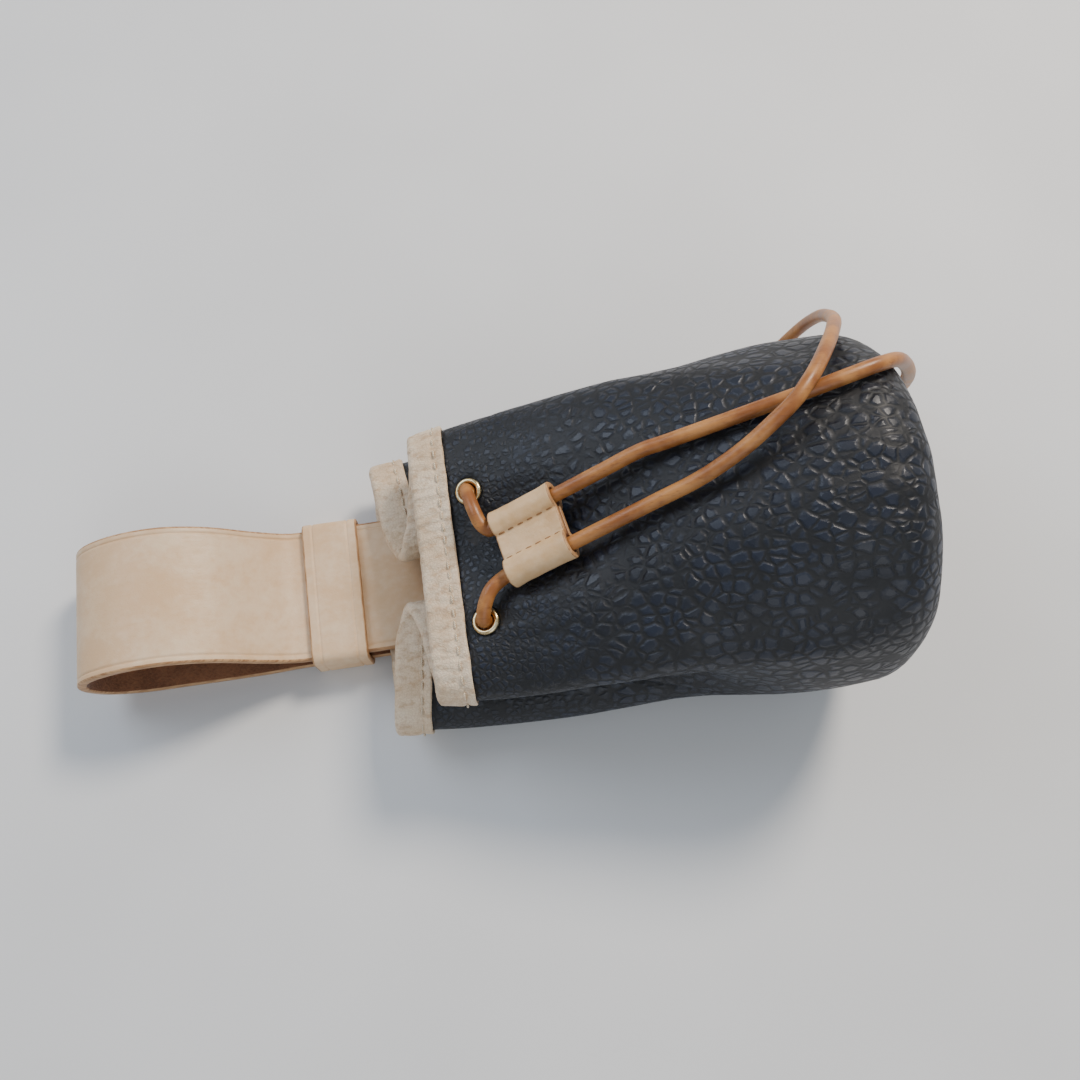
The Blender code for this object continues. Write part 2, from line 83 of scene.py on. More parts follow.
CHANNEL_SPACING = 0.0140
STOPPER_LENGTH = 0.0185
KNOT_CENTRE = Vector((0.1120, 0.0505, 0.0042))

MOUTH_KEYS = (
    (0.0000, 0.0407),
    (0.0175, 0.0427),
    (0.0290, 0.0427),
    (0.0350, 0.0405),
    (0.0370, 0.0369),
    (0.0340, 0.0333),
    (0.0270, 0.0317),
    (0.0170, 0.0305),
    (0.0112, 0.0293),
    (0.0082, 0.0257),
    (0.0112, 0.0221),
    (0.0170, 0.0209),
    (0.0300, 0.0201),
    (0.0368, 0.0179),
    (0.0393, 0.0137),
    (0.0366, 0.0093),
    (0.0305, 0.0073),
    (0.0160, 0.0071),
    (0.0000, 0.0071),
)
MOUTH_TOP = 0.0427
MOUTH_BOTTOM = 0.0071
MOUTH_HALF_WIDTH = 0.0393
FRONT_CORNER = 4
BACK_CORNER = 14
SEAM = 11.3
LAST_KEY = len(MOUTH_KEYS) - 1


def smooth(x):
    x = min(max(x, 0.0), 1.0)
    return x * x * (3.0 - 2.0 * x)


def mix(a, b, w):
    return a + (b - a) * w


def curve_point(points, at):
    """A point on the smooth curve through the points; at is counted in points."""
    i = min(int(at), len(points) - 2)
    f = at - i
    a, b = Vector(points[i]), Vector(points[i + 1])
    before = Vector(points[i - 1]) if i > 0 else None
    after = Vector(points[i + 2]) if i + 2 < len(points) else None
    slope_a = (b - before) / 2 if before else b - a
    slope_b = (after - a) / 2 if after else b - a
    h = f * f * (3 - 2 * f)
    return a * (1 - h) + b * h + slope_a * (f * (1 - f) ** 2) - slope_b * (f * f * (1 - f))


def curve_points(points, steps):
    return [curve_point(points, n / steps) for n in range(steps * (len(points) - 1) + 1)]


MOUTH = [(-MOUTH_KEYS[1][0], MOUTH_KEYS[1][1]), *MOUTH_KEYS, (-MOUTH_KEYS[-2][0], MOUTH_KEYS[-2][1])]
KEY_ARC = [0.0]
for one, two in zip(MOUTH_KEYS, MOUTH_KEYS[1:]):
    KEY_ARC.append(KEY_ARC[-1] + math.dist(one, two))


def arc_share(key):
    i = min(int(key), LAST_KEY - 1)
    return mix(KEY_ARC[i], KEY_ARC[i + 1], key - i) / KEY_ARC[-1]


def key_at(share):
    """The place round the half section that arc_share gives this share."""
    length = share * KEY_ARC[-1]
    i = max(n for n in range(LAST_KEY) if KEY_ARC[n] <= length + 1e-12)
    return min(i + (length - KEY_ARC[i]) / (KEY_ARC[i + 1] - KEY_ARC[i]), LAST_KEY)


def wall_point(key, side, along, turn=0.0):
    """The middle of the wall's thickness, as the CAD model has it: key is the place round the half
    section, along runs from 0 at the rim to 1 at the base's rounding, and turn is the angle round that."""
    size = (along + smooth(along)) / 2
    top = mix(MOUTH_TOP, ROUND_TOP_Z, size)
    half_width = mix(MOUTH_HALF_WIDTH, HALF_WIDTH, size) * (1.0 + PLEAT_SPREAD * math.sin(math.pi * along))
    mouth = curve_point(MOUTH, key + 1.0)
    height = (mouth[1] - MOUTH_BOTTOM) / (MOUTH_TOP - MOUTH_BOTTOM)
    pleated = Vector((mouth[0] * half_width / MOUTH_HALF_WIDTH, mix(MOUTH_BOTTOM, top, height)))
    angle = math.pi * arc_share(key)
    bottom = mix(MOUTH_BOTTOM, ROUND_BOTTOM_Z, size)
    round_z = mix(bottom, top, (1.0 + math.cos(angle)) / 2)
    place = pleated.lerp(Vector((half_width * math.sin(angle), round_z)), smooth(along / PLEAT_END))
    leg = (key - FRONT_CORNER) / (BACK_CORNER - FRONT_CORNER)
    rim_x = mix(FRONT_RIM_X, BACK_RIM_X, smooth(leg))
    x = mix(rim_x, BASE_X - WALL / 2 - BASE_ROUND, along) + BASE_ROUND * math.sin(turn)
    shrink = 1.0 - BASE_ROUND / HALF_WIDTH * (1.0 - math.cos(turn))
    y = side * place[0] * shrink + MOUTH_SHIFT_Y * (1.0 - size)
    floor = WALL / 2 + STRAP_SEAT * (1.0 - smooth((x - 0.021) / 0.016))
    behind_binding = smooth((along - 0.075) / 0.10) * max(0.0, 1.0 - 3.0 * height)
    z = max(place[1] - BINDING_STEP * behind_binding, floor)
    return Vector((x, y, mix(ROUND_CENTRE_Z, z, shrink)))


def wall_frame(key, side, along):
    """A place on the wall, its outward normal, and the direction from the rim to the base."""
    step = 0.02
    here = wall_point(key, side, along)
    low, high = max(key - step, 0.0), min(key + step, LAST_KEY)
    around = (wall_point(high, side, along) - wall_point(low, side, along)) * side
    inward = (wall_point(key, side, along + step) - here).normalized()
    return here, inward.cross(around).normalized(), inward


def rim_strip_frame(key, side, depth):
    """A place on the straight strip behind the rim, its outward normal, and the way round the rim."""

    def place(at):
        rim, row = wall_point(at, side, 0.0), wall_point(at, side, RIM_STRIP)
        return rim.lerp(row, depth / (row - rim).length)

    low, high = max(key - 0.02, 0.0), min(key + 0.02, LAST_KEY)
    inward = wall_point(key, side, RIM_STRIP) - wall_point(key, side, 0.0)
    around = (place(high) - place(low)) * side
    return place(key), inward.cross(around).normalized(), around.normalized()


def eyelet_frames():
    frames = []
    for keys in EYELET_KEYS:
        for key, side in zip(keys, (1, -1)):
            rim = wall_point(key, side, 0.0)
            length = (wall_point(key, side, 0.2) - rim).length / 0.2
            frames.append(wall_frame(key, side, EYELET_IN / length))
    return frames


# ---------------------------------------------------------------- camera and light
def to_linear(code):
    """A hex colour as the linear values that the shaders take."""
    parts = [int(code[i : i + 2], 16) / 255 for i in (1, 3, 5)]
    return (*[c / 12.92 if c <= 0.04045 else ((c + 0.055) / 1.055) ** 2.4 for c in parts], 1.0)


def add_camera():
    """Held over the table, looking down steeply and turned a little to one side."""
    target = Vector((0.0215, 0.0165, 0.0))
    distance = 0.32
    down = math.radians(72)
    turn = math.radians(-8.5)
    view_angle = math.radians(56.2)
    right = Vector((math.cos(turn), math.sin(turn), 0.0))
    level = Vector((-math.sin(turn), math.cos(turn), 0.0))
    forward = level * math.cos(down) - Vector((0, 0, math.sin(down)))
    data = bpy.data.cameras.new("camera")
    data.sensor_width = 36.0
    data.lens = data.sensor_width / 2 / math.tan(view_angle / 2)
    data.clip_start = 0.01
    camera = bpy.data.objects.new("camera", data)
    bpy.context.scene.collection.objects.link(camera)
    axes = Matrix((right, right.cross(forward), -forward)).transposed().to_4x4()
    camera.matrix_world = Matrix.Translation(target - forward * distance) @ axes
    bpy.context.scene.camera = camera


def add_area(name, place, target, size, power, colour):
    data = bpy.data.lights.new(name, "AREA")
    data.shape = "DISK"
    data.size = size
    data.energy = power
    data.color = to_linear(colour)[:3]
    light = bpy.data.objects.new(name, data)
    bpy.context.scene.collection.objects.link(light)
    light.location = place
    light.rotation_euler = (Vector(target) - Vector(place)).to_track_quat("-Z", "Y").to_euler()


def add_light():
    middle = (0.02, 0.0, 0.03)
    add_area("key", (0.62, 0.62, 0.95), middle, 0.34, 15.0, "#FFF3E4")
    add_area("window", (-0.70, 0.55, 0.80), middle, 0.70, 5.0, "#E3EEFF")
    add_area("front", (0.10, -1.00, 0.80), middle, 0.80, 2.6, "#FFFFFF")
    world = bpy.data.worlds.new("room")
    world.use_nodes = True
    back = world.node_tree.nodes["Background"]
    back.inputs["Color"].default_value = to_linear("#DFE6EE")
    back.inputs["Strength"].default_value = 0.55
    bpy.context.scene.world = world


# ---------------------------------------------------------------- materials
class Look:
    """A material whose nodes are added one call at a time."""

    def __init__(self, name, roughness=0.5, metallic=0.0, **constants):
        self.material = bpy.data.materials.new(name)
        self.material.use_nodes = True
        self.tree = self.material.node_tree
        self.shader = self.tree.nodes["Principled BSDF"]
        self.shader.inputs["Roughness"].default_value = roughness
        self.shader.inputs["Metallic"].default_value = metallic
        for socket, value in constants.items():
            self.shader.inputs[socket.replace("_", " ")].default_value = value
        self.place = self.add("ShaderNodeTexCoord").outputs["Object"]

    def add(self, kind, settings=(), **links):
        """A node with its settings, and its sockets set to values or linked to other nodes' outputs."""
        node = self.tree.nodes.new(kind)
        for key, value in dict(settings).items():
            setattr(node, key, value)
        for key, value in links.items():
            socket = node.inputs[int(key[1:])] if key[0] == "i" and key[1:].isdigit() else node.inputs[key]
            if isinstance(value, bpy.types.NodeSocket):
                self.tree.links.new(value, socket)
            else:
                socket.default_value = value
        return node

    def feed(self, socket, output):
        self.tree.links.new(output, self.shader.inputs[socket])

    def scaled(self, x, y, z):
        """Object coordinates over the given pattern sizes, in millimetres."""
        sizes = (1000 / x, 1000 / y, 1000 / z)
        return self.add("ShaderNodeMapping", Vector=self.place, Scale=sizes).outputs["Vector"]

    def warped(self, vector, by, scale):
        """The coordinates pushed about by noise, so that a pattern loses its evenness."""
        cloud = self.add("ShaderNodeTexNoise", Vector=vector, Scale=scale, Detail=2.0).outputs["Color"]
        centred = self.add("ShaderNodeVectorMath", {"operation": "SUBTRACT"}, i0=cloud, i1=(0.5, 0.5, 0.5))
        pushed = self.add("ShaderNodeVectorMath", {"operation": "SCALE"}, i0=centred.outputs[0], Scale=by)
        moved = self.add("ShaderNodeVectorMath", {"operation": "ADD"}, i0=vector, i1=pushed.outputs[0])
        return moved.outputs[0]

    def noise(self, vector, detail=4.0, roughness=0.55):
        return self.add(
            "ShaderNodeTexNoise", Vector=vector, Scale=1.0, Detail=detail, Roughness=roughness
        ).outputs["Fac"]

    def cells(self, vector, feature="F1"):
        made = self.add("ShaderNodeTexVoronoi", {"feature": feature}, Vector=vector, Scale=1.0)
        return made.outputs["Distance"]

    def math(self, operation, a, b=0.0, clamp=False):
        made = self.add("ShaderNodeMath", {"operation": operation, "use_clamp": clamp}, i0=a, i1=b)
        return made.outputs[0]

    def span(self, value, low, high, to_low=0.0, to_high=1.0):
        """The value eased from one span to another."""
        made = self.add(
            "ShaderNodeMapRange",
            {"interpolation_type": "SMOOTHSTEP"},
            Value=value,
            i1=low,
            i2=high,
            i3=to_low,
            i4=to_high,
        )
        return made.outputs[0]

    def blend(self, share, a, b):
        colours = [to_linear(c) if isinstance(c, str) else c for c in (a, b)]
        made = self.add("ShaderNodeMix", {"data_type": "RGBA"}, i0=share, i6=colours[0], i7=colours[1])
        return made.outputs[2]

    def bumps(self, *layers):
        """Bump nodes in a chain: each layer is a height from 0 to 1 and its depth in millimetres."""
        normal = None
        for height, depth in layers:
            links = {"Height": height, "Distance": depth * MM, "Strength": 1.0}
            if normal:
                links["Normal"] = normal
            normal = self.add("ShaderNodeBump", **links).outputs["Normal"]
        self.feed("Normal", normal)


def pebble_leather():
    """Drum-dyed, tumbled cowhide: round pebbles parted by creases, with a waxy blue-black sheen; the
    creases are painted near black, which is painted shade.
    """
    look = Look("pebble_grain_cowhide", IOR=1.5, Sheen_Weight=0.0)
    x = look.add("ShaderNodeSeparateXYZ", Vector=look.place).outputs["X"]
    near_mouth = look.span(x, 0.004, 0.040, 1.0, 0.0)
    coarse = look.warped(look.scaled(3.9, 3.0, 3.2), 0.55, 0.9)
    fine = look.warped(look.scaled(2.0, 1.7, 1.8), 0.6, 1.1)
    heights = []
    for vector in (coarse, fine):
        crease = look.span(look.cells(vector, "DISTANCE_TO_EDGE"), 0.0, 0.26)
        dome = look.span(look.cells(vector, "F1"), 0.0, 0.95, 1.0, 0.0)
        heights.append(look.math("MULTIPLY", crease, look.math("ADD", dome, 0.35), clamp=True))
    faded = look.math("MULTIPLY", heights[1], 0.55)
    shared = look.add("ShaderNodeMix", {"data_type": "FLOAT"}, i0=near_mouth, i2=heights[0], i3=faded)
    height = shared.outputs[0]
    pores = look.noise(look.scaled(0.35, 0.35, 0.35), detail=3.0)
    patches = look.noise(look.scaled(22.0, 22.0, 22.0), detail=3.0)
    hide = look.blend(look.span(patches, 0.35, 0.7), "#0B0E17", "#101A2C")
    # painted shade: the creases, the low places of the bump, are coloured near black
    look.feed("Base Color", look.blend(look.span(height, 0.05, 0.6), "#030407", hide))
    rough = look.span(height, 0.0, 0.8, 0.62, 0.42)
    uneven = look.math("MULTIPLY", look.math("SUBTRACT", patches, 0.5), 0.16)
    look.feed("Roughness", look.math("ADD", rough, uneven))
    look.bumps((height, 0.34), (pores, 0.03))
    look.shader.inputs["Specular IOR Level"].default_value = 0.55
    look.shader.inputs["Coat Weight"].default_value = 0.10
    look.shader.inputs["Coat Roughness"].default_value = 0.35
    look.shader.inputs["Coat Tint"].default_value = to_linear("#B9CCF0")
    return look.material


def flesh_leather(name, dark, light):
    """The flesh side of a hide: matt, fibrous and uneven, with no shine."""
    look = Look(name, roughness=0.9, Sheen_Weight=0.25)
    look.shader.inputs["Specular IOR Level"].default_value = 0.2
    fibres = look.noise(look.warped(look.scaled(0.9, 0.5, 0.5), 0.8, 1.0), detail=6.0, roughness=0.7)
    clouds = look.noise(look.scaled(9.0, 9.0, 9.0), detail=3.0)
    shade = look.math("ADD", look.math("MULTIPLY", fibres, 0.6), look.math("MULTIPLY", clouds, 0.4))
    look.feed("Base Color", look.blend(look.span(shade, 0.35, 0.65), dark, light))
    look.bumps((fibres, 0.15))
    return look.material


def creased_leather():
    """Thin undyed goatskin turned over an edge: fine grain, broken into soft creases by the fold."""
    look = Look("undyed_goatskin", roughness=0.55, Sheen_Weight=0.08)
    look.shader.inputs["Subsurface Weight"].default_value = 0.04
    look.shader.inputs["Subsurface Radius"].default_value = (0.002, 0.001, 0.0006)
    look.shader.inputs["Subsurface Scale"].default_value = 1.0
    grain = look.cells(look.warped(look.scaled(0.9, 0.8, 0.8), 0.5, 1.0), "DISTANCE_TO_EDGE")
    folds = look.noise(look.warped(look.scaled(3.4, 2.0, 2.4), 0.7, 1.2), detail=5.0, roughness=0.62)
    clouds = look.noise(look.scaled(11.0, 11.0, 11.0), detail=3.0)
    base = look.blend(look.span(clouds, 0.3, 0.7), "#D9C0A0", "#E9D6BC")
    # painted shade: the valleys of the folds and the cracks between grain cells are coloured darker
    fold_shade_painted = look.blend(look.span(folds, 0.32, 0.55, 0.55, 0.0), base, "#B08A62")
    look.feed("Base Color", look.blend(look.span(grain, 0.0, 0.10, 0.35, 0.0), fold_shade_painted, "#A88460"))
    look.feed("Roughness", look.span(folds, 0.3, 0.7, 0.66, 0.48))
    look.bumps((folds, 0.30), (look.span(grain, 0.0, 0.25), 0.07))
    return look.material


def smooth_leather(name, light, dark, gloss=0.42):
    """Vegetable-tanned hide with its grain polished: faintly clouded, with pores and hairline scuffs."""
    look = Look(name, Sheen_Weight=0.0)
    look.shader.inputs["Subsurface Weight"].default_value = 0.03
    look.shader.inputs["Subsurface Radius"].default_value = (0.0025, 0.0012, 0.0006)
    look.shader.inputs["Subsurface Scale"].default_value = 1.0
    clouds = look.noise(look.scaled(26.0, 17.0, 20.0), detail=4.0)
    mottle = look.noise(look.scaled(2.6, 2.2, 2.4), detail=4.0)
    pores = look.cells(look.warped(look.scaled(0.75, 0.75, 0.75), 0.4, 1.0), "F1")
    scuffs = look.noise(look.warped(look.scaled(14.0, 0.8, 3.0), 0.9, 0.5), detail=5.0, roughness=0.7)
    shade = look.math("ADD", look.math("MULTIPLY", clouds, 0.7), look.math("MULTIPLY", mottle, 0.3))
    tone = look.blend(look.span(shade, 0.36, 0.66), dark, light)
    look.feed("Base Color", look.blend(look.span(scuffs, 0.60, 0.74, 0.0, 0.22), tone, dark))
    look.feed("Roughness", look.span(scuffs, 0.35, 0.7, gloss, gloss + 0.14))
    look.bumps((look.span(pores, 0.05, 0.45), 0.025), (mottle, 0.05), (clouds, 0.25))
    return look.material


def cut_edge():
    """A burnished cut edge: the hide's layers rubbed down with wax, so darker and half glossy."""
    look = Look("burnished_edge", roughness=0.5)
    layers = look.noise(look.scaled(5.0, 5.0, 0.5), detail=4.0)
    look.feed("Base Color", look.blend(look.span(layers, 0.35, 0.65), "#9C7048", "#C79E72"))
    look.bumps((layers, 0.06))
    return look.material


def round_leather_cord():
    """Round-cut dyed leather cord: a rubbed, waxed skin over long fibres that show as fine streaks."""
    look = Look("waxed_leather_cord", roughness=0.42)
    look.shader.inputs["Coat Weight"].default_value = 0.12
    look.shader.inputs["Coat Roughness"].default_value = 0.3
    streaks = look.noise(look.warped(look.scaled(4.5, 0.7, 1.3), 0.5, 0.8), detail=5.0, roughness=0.65)
    patches = look.noise(look.scaled(9.0, 9.0, 9.0), detail=3.0)
    tone = look.blend(look.span(patches, 0.35, 0.68), "#8E5526", "#BC8145")
    look.feed("Base Color", look.blend(look.span(streaks, 0.52, 0.72, 0.0, 0.55), tone, "#6E3D18"))
    look.feed("Roughness", look.span(patches, 0.3, 0.7, 0.36, 0.52))
    look.bumps((streaks, 0.06), (look.noise(look.scaled(0.5, 0.5, 0.5)), 0.02))
    return look.material


def pale_brass():
    """Stamped brass, lightly lacquered: clean on the crown of the roll, duller where it was pressed."""
    look = Look("stamped_brass", metallic=1.0)
    wear = look.noise(look.scaled(1.6, 1.6, 1.6), detail=5.0, roughness=0.65)
    look.feed("Base Color", look.blend(look.span(wear, 0.35, 0.7), "#D8BC86", "#EFE0B8"))
    look.feed("Roughness", look.span(wear, 0.3, 0.75, 0.18, 0.36))
    look.bumps((wear, 0.02))
    return look.material


def sewing_thread(name, light, dark):
    """Waxed, plied thread: its twist shows as short slanted bands."""
    look = Look(name, roughness=0.6)
    plies = look.add(
        "ShaderNodeTexWave", {"wave_type": "BANDS", "bands_direction": "DIAGONAL"},
        Vector=look.scaled(1.0, 1.0, 1.0), Scale=1.1, Distortion=0.6,
    ).outputs["Fac"]
    # painted shade: the grooves between the plies are coloured darker than the raised plies
    look.feed("Base Color", look.blend(plies, dark, light))
    look.bumps((plies, 0.06))
    return look.material


def table_top():
    """A matt painted table: almost white, with slight unevenness in its sheen."""
    look = Look("matt_painted_table", roughness=0.6)
    clouds = look.noise(look.scaled(160.0, 160.0, 160.0), detail=3.0)
    look.feed("Base Color", look.blend(look.span(clouds, 0.3, 0.7), "#DCDDDE", "#E4E5E6"))
    look.bumps((look.noise(look.scaled(1.4, 1.4, 1.4)), 0.02))
    return look.material


# ---------------------------------------------------------------- small modelling tools
def mesh_piece(name, points, faces, materials, flat_angle=50):
    mesh = bpy.data.meshes.new(name)
    mesh.from_pydata([tuple(p) for p in points], [], faces)
    mesh.validate()
    mesh.shade_smooth()
    mesh.set_sharp_from_angle(angle=math.radians(flat_angle))
    for finish in materials:
        mesh.materials.append(finish)
    obj = bpy.data.objects.new(name, mesh)
    bpy.context.scene.collection.objects.link(obj)
    return obj


def face_outward(obj):
    """Turns a closed piece's faces so that they all point out."""
    mesh = bmesh.new()
    mesh.from_mesh(obj.data)
    bmesh.ops.recalc_face_normals(mesh, faces=mesh.faces)
    mesh.to_mesh(obj.data)
    mesh.free()


def sweep(name, frames, profile, materials, closed, pick=None, flat_angle=50):
    """A closed profile carried along frames of (place, width axis, height axis).

    profile is one list of (w, h), or a function of the frame's number; pick gives a face's material
    from its number in the profile. An open sweep gets flat ends.
    """
    shape = profile if callable(profile) else lambda i: profile
    count = len(shape(0))
    points = []
    for i, (place, wide, high) in enumerate(frames):
        points += [place + wide * w + high * h for w, h in shape(i)]
    faces, kinds = [], []
    rows = len(frames)
    for r in range(rows if closed else rows - 1):
        s = (r + 1) % rows
        for c in range(count):
            d = (c + 1) % count
            faces.append((r * count + c, r * count + d, s * count + d, s * count + c))
            kinds.append(pick(c) if pick else 0)
    if not closed:
        for r, turned in ((0, True), (rows - 1, False)):
            loop = [r * count + c for c in range(count)]
            faces.append(tuple(loop[::-1] if turned else loop))
            kinds.append(pick(-1) if pick else 0)
    obj = mesh_piece(name, points, faces, materials, flat_angle)
    obj.data.polygons.foreach_set("material_index", kinds)
    face_outward(obj)
    return obj


def strip_profile(half_width, low, high, rounding, spacing, dents=()):
    """Across a flat strip: straight faces at heights low and high, edges rounded by rounding, and
    dents of (w, width, depth) pressed into the high face."""

    def top(w):
        return high - sum(depth * math.exp(-(((w - at) / width) ** 2)) for at, width, depth in dents)

    flat = half_width - rounding
    steps = max(round(2 * flat / spacing), 2)
    line = [mix(-flat, flat, n / steps) for n in range(steps + 1)]
    points = [(w, top(w)) for w in line]
    for n in range(1, 4):
        a = math.pi / 2 * n / 4
        points.append((flat + rounding * math.sin(a), top(flat) - rounding * (1 - math.cos(a))))
    for n in range(1, 4):
        a = math.pi / 2 * n / 4
        points.append((flat + rounding * math.cos(a), low + rounding * (1 - math.sin(a))))
    few = line[:: max(steps // 8, 1)]
    points += [(w, low) for w in reversed(few)]
    for n in range(1, 4):
        a = math.pi / 2 * n / 4
        points.append((-flat - rounding * math.sin(a), low + rounding * (1 - math.cos(a))))
    for n in range(1, 4):
        a = math.pi / 2 * n / 4
        points.append((-flat - rounding * math.cos(a), top(-flat) - rounding * (1 - math.sin(a))))
    return points, len(line)


def strip_sides(top, count):
    """Picks a strip's materials round its profile: 0 grain side, 1 flesh side, 2 cut edges and ends."""

    def pick(c):
        if 0 <= c < top - 1:
            return 0
        return 1 if top + 5 <= c <= count - 7 else 2

    return pick


def stitches(name, frames, length, radius, finish):
    """One small bowed stitch for each frame of (place, direction, up)."""
    points, faces = [], []
    around, steps = 8, 6
    for place, direction, up in frames:
        side = direction.cross(up).normalized()
        first = len(points)
        for n in range(steps + 1):
            t = n / steps * 2 - 1
            centre = place + direction * (t * length / 2) - up * (radius * 1.5 * t * t * t * t)
            r = radius * (1.0 - 0.45 * t * t * t * t)
            for k in range(around):
                a = 2 * math.pi * k / around
                points.append(centre + side * (r * math.cos(a)) + up * (r * math.sin(a)))
        for n in range(steps):
            for k in range(around):
                m = (k + 1) % around
                base = first + n * around
                faces.append((base + k, base + m, base + around + m, base + around + k))
        faces.append(tuple(first + k for k in reversed(range(around))))
        faces.append(tuple(first + steps * around + k for k in range(around)))
    return mesh_piece(name, points, faces, [finish])


def ridged(value):
    """1 along the zeros of a noise, falling away on both sides."""
    return (1.0 - min(abs(value) * 2.4, 1.0)) ** 2


# ---------------------------------------------------------------- drawcord
STRAIGHT = (-0.0112, -0.0093, 0.0000, 0.0130, 0.0240, 0.0340)  # places along the straight strands
CUT = 0.00015  # the inside stretch and the leads stop this far short of each other
UPPER_BEND = (
    (0.0020, 0.0146, 0.0510),
    (0.0029, 0.0104, 0.0523),
    (0.0041, 0.0067, 0.0521),
)
LOWER_BEND = (
    (0.0024, -0.0154, 0.0516),
    (0.0046, -0.0118, 0.0528),
)
UPPER_ROUTE = (
    (0.0530, 0.0134, 0.0743),
    (0.0656, 0.0143, 0.0794),
    (0.0782, 0.0156, 0.0836),
    (0.0877, 0.0166, 0.0866),
    (0.0959, 0.0180, 0.0882),
    (0.1039, 0.0201, 0.0876),
    (0.1102, 0.0226, 0.0835),
    (0.1155, 0.0253, 0.0757),
    (0.1217, 0.0286, 0.0640),
    (0.1278, 0.0329, 0.0500),
    (0.1333, 0.0377, 0.0340),
    (0.1372, 0.0425, 0.0200),
    (0.1390, 0.0456, 0.0110),
    (0.1386, 0.0472, 0.0048),
    (0.1345, 0.0480, 0.0024),
    (0.1280, 0.0483, 0.0023),
)
LOWER_ROUTE = (
    (0.0567, 0.0008, 0.0772),
    (0.0630, 0.0026, 0.0813),
    (0.0693, 0.0052, 0.0851),
    (0.0757, 0.0089, 0.0886),
    (0.0809, 0.0125, 0.0905),
    (0.0848, 0.0164, 0.0908),
    (0.0885, 0.0208, 0.0892),
    (0.0928, 0.0266, 0.0857),
    (0.0974, 0.0332, 0.0803),
    (0.1023, 0.0407, 0.0720),
    (0.1072, 0.0482, 0.0602),
    (0.1117, 0.0562, 0.0470),
    (0.1140, 0.0634, 0.0345),
    (0.1137, 0.0677, 0.0225),
    (0.1112, 0.0690, 0.0120),
    (0.1066, 0.0673, 0.0052),
    (0.1014, 0.0645, 0.0024),
    (0.0962, 0.0610, 0.0023),
    (0.0938, 0.0565, 0.0023),
    (0.0960, 0.0534, 0.0023),
)
UPPER_TAIL = (
    (0.1280, 0.0526, 0.0023),
    (0.1340, 0.0535, 0.0023),
    (0.1395, 0.0556, 0.0023),
    (0.1440, 0.0580, 0.0023),
)
LOWER_TAIL = (
    (0.0960, 0.0478, 0.0023),
    (0.0890, 0.0474, 0.0023),
)
HAIRPIN = (  # half of a reef knot, in millimetres from its middle: in along one leg, round, and out
    (8.0, -2.2, -1.9),
    (4.2, -2.8, 0.1),
    (0.0, -3.8, 1.9),
    (-4.2, -5.0, 0.1),
    (-7.4, -5.2, -1.8),
    (-9.4, -3.1, -1.9),
    (-9.9, 0.0, -1.9),
    (-9.4, 3.1, -1.9),
    (-7.4, 5.2, -1.8),
    (-4.2, 5.0, 0.1),
    (0.0, 3.8, 1.9),
    (4.2, 2.8, 0.1),
    (8.0, 2.2, -1.9),
)


def stopper_axes():
    up = (STOPPER_UP - STOPPER_UP.dot(STRAND_DIRECTION) * STRAND_DIRECTION).normalized()
    return up.cross(STRAND_DIRECTION), up


ACROSS, UP = stopper_axes()


def strand_point(side, distance):
    return STOPPER_CENTRE + ACROSS * (side * CHANNEL_SPACING / 2) + STRAND_DIRECTION * distance


def line_length(points):
    return sum((Vector(b) - Vector(a)).length for a, b in zip(points, points[1:]))


def cord_curve(name, route, finish, taper_end=False):
    """A round cord on the smooth curve through the route."""
    points = curve_points([Vector(p) for p in route], 6)
    data = bpy.data.curves.new(name, "CURVE")
    data.dimensions = "3D"
    data.bevel_depth = CORD_R
    data.bevel_resolution = 6
    data.use_fill_caps = True
    spline = data.splines.new("POLY")
    spline.points.add(len(points) - 1)
    for point, place in zip(spline.points, points):
        point.co = (*place, 1.0)
    if taper_end:  # the cut end is pared and a little rounded
        for n, radius in ((1, 0.62), (2, 0.93)):
            spline.points[-n].radius = radius
    spline.use_smooth = True
    data.materials.append(finish)
    obj = bpy.data.objects.new(name, data)
    bpy.context.scene.collection.objects.link(obj)
    return obj, points


def hairpin(turned):
    """The upper cord's half of the knot, or the lower one's: the same, turned half way about Y."""
    way = -1.0 if turned else 1.0
    return [KNOT_CENTRE + Vector((way * x, y, way * z)) * MM for x, y, z in HAIRPIN]


def drawcords(finish):
    frames = eyelet_frames()
    for name, side, number, bend, route, tail in (
        ("drawcord_upper_lead", 1, 0, UPPER_BEND, UPPER_ROUTE, UPPER_TAIL),
        ("drawcord_lower_lead", -1, 1, LOWER_BEND, LOWER_ROUTE, LOWER_TAIL),
    ):
        place, normal, _ = frames[number]
        start = place + normal * CUT
        path = [start, place + normal * 0.0014, place + normal * 0.0028, *bend]
        path += [strand_point(side, distance) for distance in STRAIGHT]
        knot = hairpin(turned=number == 1)
        if number == 1:
            knot = knot[::-1]  # this one comes in on the far side and leaves on the near side
        path += [*route, *knot, *tail]
        lead, points = cord_curve(name, path, finish, taper_end=True)
        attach(lead, "pouch")
        if number == 0:
            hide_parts("drawcord_upper", "drawcord_upper_tail", "drawcord_knot")
        else:
            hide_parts("drawcord_lower", "drawcord_lower_tail")
        line_length(points)
    threaded = []
    through = (-0.0036, -0.0024, 0.0018, 0.0030)
    for side in (0, 1):
        half = []
        for number, passes in enumerate(((-CUT, -0.0024, -0.0036), through, through[::-1])):
            place, normal, _ = frames[2 * number + side]
            half += [place + normal * height for height in passes]
        across = 1 if side == 0 else -1
        half.append(Vector((-0.0112, across * 0.0205, 0.0153)))
        half.append(Vector((-0.0115, across * 0.0100, 0.0147)))
        threaded.append(half)
    inside, _ = cord_curve("drawcord_inside", threaded[0] + threaded[1][::-1], finish)
    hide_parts("drawcord_threaded")
    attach(inside, "pouch")


